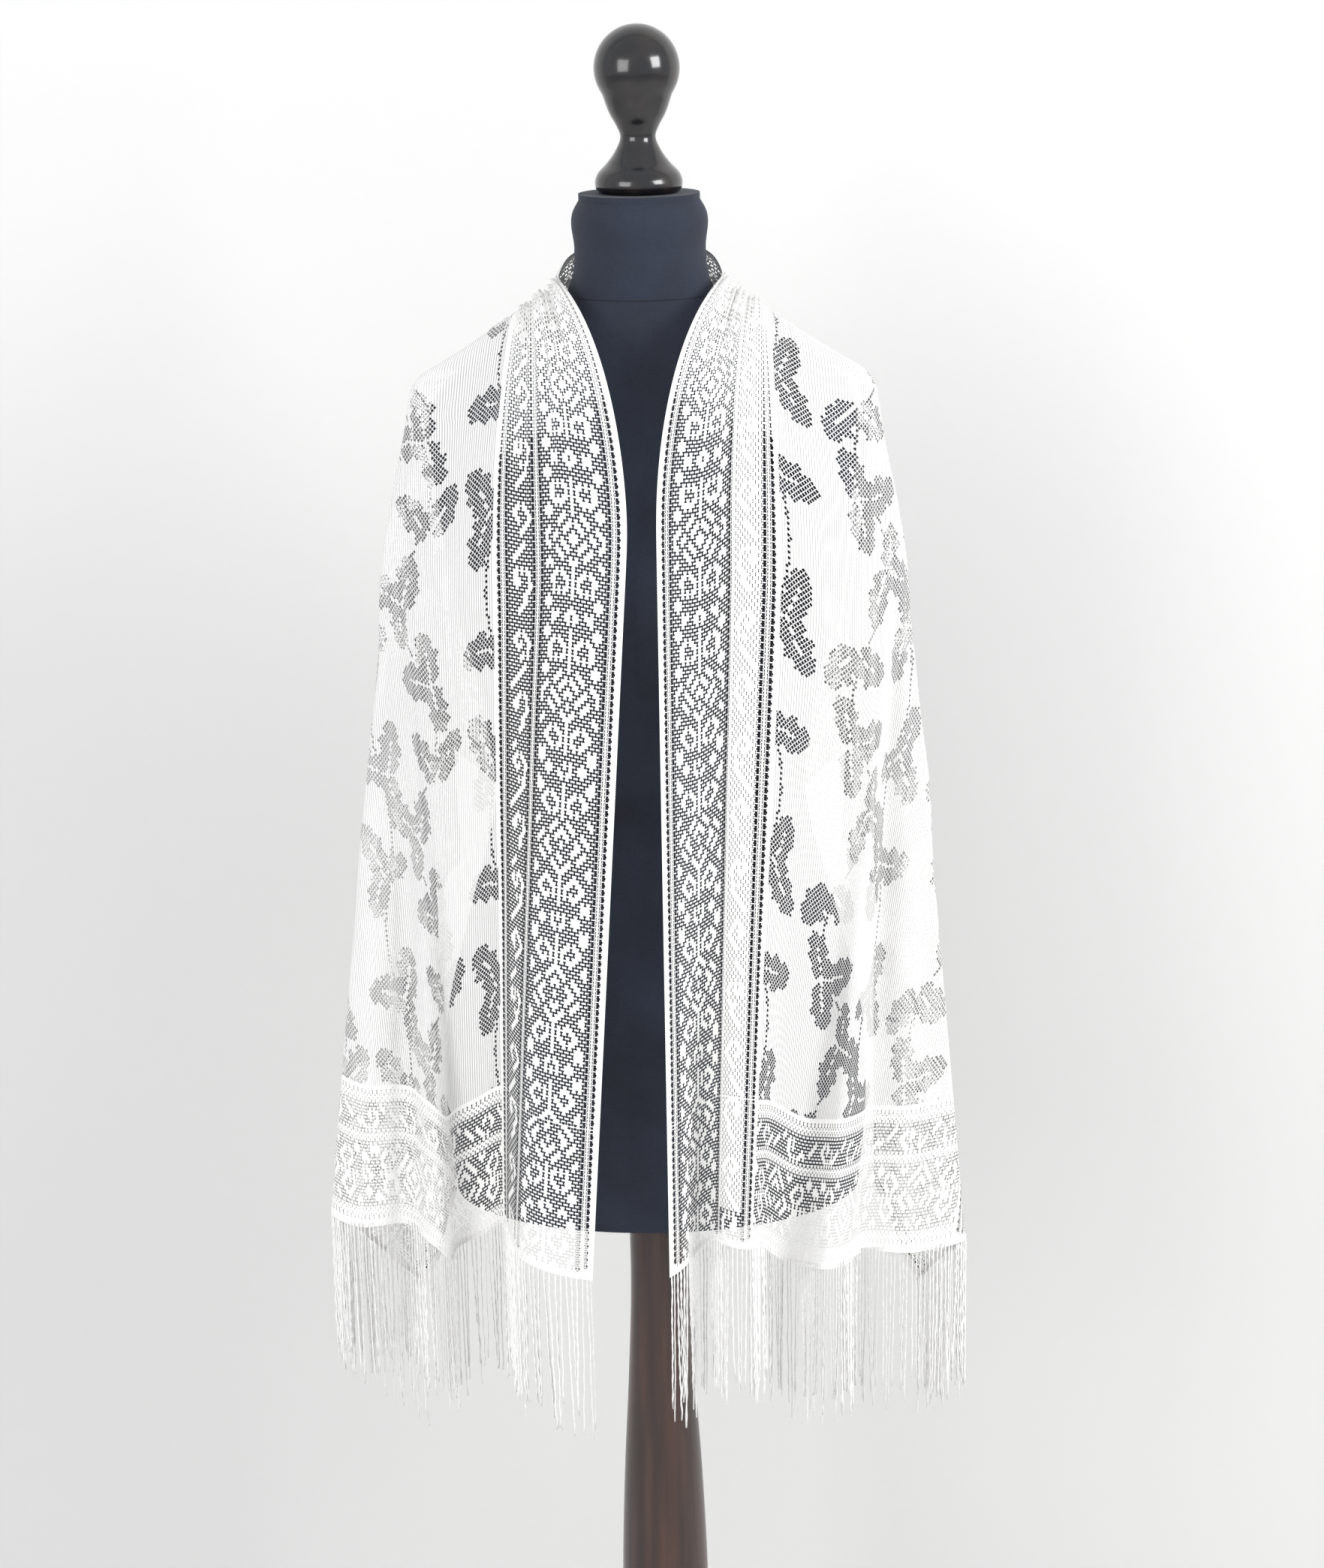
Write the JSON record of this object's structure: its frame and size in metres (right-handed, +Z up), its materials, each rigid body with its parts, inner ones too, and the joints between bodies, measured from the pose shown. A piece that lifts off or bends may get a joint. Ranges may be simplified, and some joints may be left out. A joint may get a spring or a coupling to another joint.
{
  "type": "lace shawl on dress form",
  "caption": "Fringed rectangular lace shawl draped round the neck and over the shoulders of a limbless dress form on a turned wooden pedestal.",
  "frame": {"origin": "centre of the base's flat underside, on the floor", "axes": "+Z up along the pole, -Y to the front where the shawl is open, +X to the viewer's right"},
  "size_m": [0.5211, 0.34, 1.646],
  "materials": {
    "white_lace": "machine-knitted matt white lace",
    "white_thread": "soft twisted white thread",
    "black_jersey": "fine black knitted jersey",
    "black_lacquer": "glossy black lacquer on turned wood",
    "dark_wood": "dark stained and varnished turned wood"
  },
  "bodies": {
    "root": {"base": "dark_wood", "pole": "dark_wood", "finial": "black_lacquer", "torso": "black_jersey", "ground_left": "white_lace", "ground_back": "white_lace", "ground_right": "white_lace", "neck_border_left": "white_lace", "neck_border_back": "white_lace", "neck_border_right": "white_lace", "outer_border_left": "white_lace", "outer_border_back": "white_lace", "outer_border_right": "white_lace", "hem_border_left": "white_lace", "hem_border_right": "white_lace", "fringe_left": "white_thread", "fringe_right": "white_thread"}
  },
  "joints": []
}
